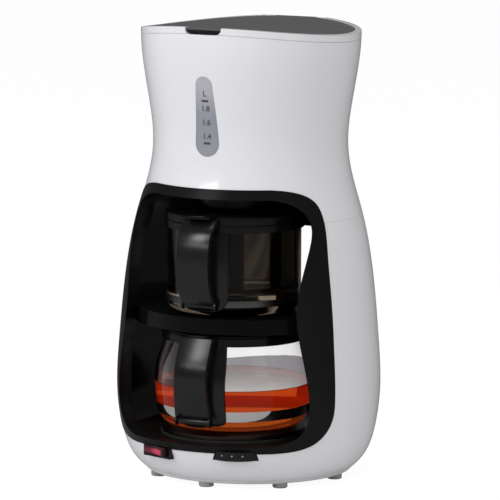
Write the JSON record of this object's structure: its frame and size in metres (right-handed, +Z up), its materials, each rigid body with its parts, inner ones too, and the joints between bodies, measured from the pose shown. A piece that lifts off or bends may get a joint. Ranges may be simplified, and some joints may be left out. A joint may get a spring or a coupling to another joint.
{
  "type": "iced tea maker",
  "caption": "Free-standing iced tea maker: waisted white body with a water tank and hinged lid, a through tunnel with a shelf, and two glass carafes with lids.",
  "frame": {"origin": "on the axis of the round body, at the level of the surface that the feet stand on", "axes": "+Z up, the front with the bezel and handles faces -Y, +X to the right as seen from the front"},
  "size_m": [0.2311, 0.2297, 0.3988],
  "materials": {
    "white_shell": "glossy moulded white plastic",
    "black_trim": "fine satin black plastic",
    "black_gloss": "glossy black plastic",
    "grey_gloss": "glossy dark grey plastic",
    "window_grey": "translucent smoke grey plastic",
    "natural_plastic": "natural translucent plastic",
    "valve_plastic": "black engineering plastic",
    "red_lens": "lit translucent red plastic",
    "rubber_grey": "soft grey rubber",
    "rubber_black": "black rubber",
    "glass": "clear borosilicate glass",
    "steel": "brushed stainless steel",
    "cast_aluminium": "cast aluminium",
    "board": "green circuit board",
    "coil": "encapsulated coil"
  },
  "bodies": {
    "body": {"lower_housing": "white_shell", "upper_housing": "white_shell", "front_bezel": "black_trim", "rear_frame": "black_trim", "liner_left": "black_gloss", "liner_right": "black_gloss", "brew_head": "black_trim", "shower_head": "black_trim", "cavity_floor": "black_gloss", "base_plate": "white_shell", "feet": "rubber_grey", "base_screws": "steel", "cord_gland": "rubber_black", "warming_plate": "steel", "plate_gasket": "rubber_black", "heater_tube": "cast_aluminium", "heater_bracket": "steel", "thermostat": "steel", "thermal_fuse": "coil", "supply_tubes": "rubber_black", "check_valve": "natural_plastic", "riser_tube": "rubber_black", "hose_clamps": "steel", "reservoir_tank": "natural_plastic", "inlet_filter": "natural_plastic", "level_window": "window_grey", "lid_hinge_pin": "steel", "switch_body": "black_trim", "selector_switch": "natural_plastic", "control_board": "board", "middle_shelf": "black_trim", "shelf_cover": "black_trim", "drain_solenoid": "coil"},
    "tank_lid": {"reservoir_lid": "grey_gloss", "lid_grip": "black_trim"},
    "rocker": {"rocker_button": "red_lens"},
    "dial": {"selector_dial": "black_gloss"},
    "lifter": {"valve_lifter": "natural_plastic"},
    "upper_carafe": {"upper_glass": "glass", "upper_collar": "black_gloss", "upper_band": "steel", "upper_handle": "black_gloss", "upper_handle_screw": "steel", "infuser_frame": "valve_plastic", "infuser_mesh": "steel", "drain_seal": "rubber_black", "drain_body": "valve_plastic", "drain_nut": "valve_plastic", "drain_spring": "steel"},
    "upper_carafe_lid": {"upper_lid": "black_gloss"},
    "plunger": {"drain_plunger": "valve_plastic"},
    "lower_carafe": {"lower_glass": "glass", "lower_collar": "black_gloss", "lower_band": "steel", "lower_handle": "black_gloss", "lower_handle_screw": "steel"},
    "lower_carafe_lid": {"lower_lid": "black_gloss"}
  },
  "joints": [
    {"name": "tank_lid_hinge", "type": "hinge", "parent": "body", "child": "tank_lid", "pos_m": [0, 0.0913, 0.3914], "axis": [-1, 0, 0], "range_deg": [0, 95]},
    {"name": "rocker_tilt", "type": "hinge", "parent": "body", "child": "rocker", "pos_m": [-0.03663, -0.10011, 0.0316], "axis": [0, 0, 1], "range_deg": [0, 14]},
    {"name": "selector_turn", "type": "hinge", "parent": "body", "child": "dial", "pos_m": [0.0314, -0.08626, 0.0327], "axis": [0, 0, 1], "range_deg": [-35, 35]},
    {"name": "lifter_slide", "type": "slide", "parent": "body", "child": "lifter", "axis": [0, 0, 1], "range_m": [0, 0.0053]},
    {"name": "upper_carafe_pull", "type": "slide", "parent": "body", "child": "upper_carafe", "axis": [0, -1, 0], "range_m": [0, 0.17]},
    {"name": "upper_lid_turn", "type": "hinge", "parent": "upper_carafe", "child": "upper_carafe_lid", "pos_m": [0, -0.031, 0.2289], "axis": [0, 0, 1], "range_deg": [0, 35]},
    {"name": "drain_plunger_lift", "type": "slide", "parent": "upper_carafe", "child": "plunger", "axis": [0, 0, 1], "range_m": [0, 0.003], "stiffness_N_per_m": 60, "springref_m": -0.002, "deforming": ["drain_spring"]},
    {"name": "lower_carafe_pull", "type": "slide", "parent": "body", "child": "lower_carafe", "axis": [0, -1, 0], "range_m": [0, 0.18]},
    {"name": "lower_lid_turn", "type": "hinge", "parent": "lower_carafe", "child": "lower_carafe_lid", "pos_m": [0, -0.031, 0.1319], "axis": [0, 0, 1], "range_deg": [0, 35]}
  ],
  "couplings": [
    {"joint": "drain_plunger_lift", "follows": "lifter_slide", "ratio": 0.56604}
  ]
}
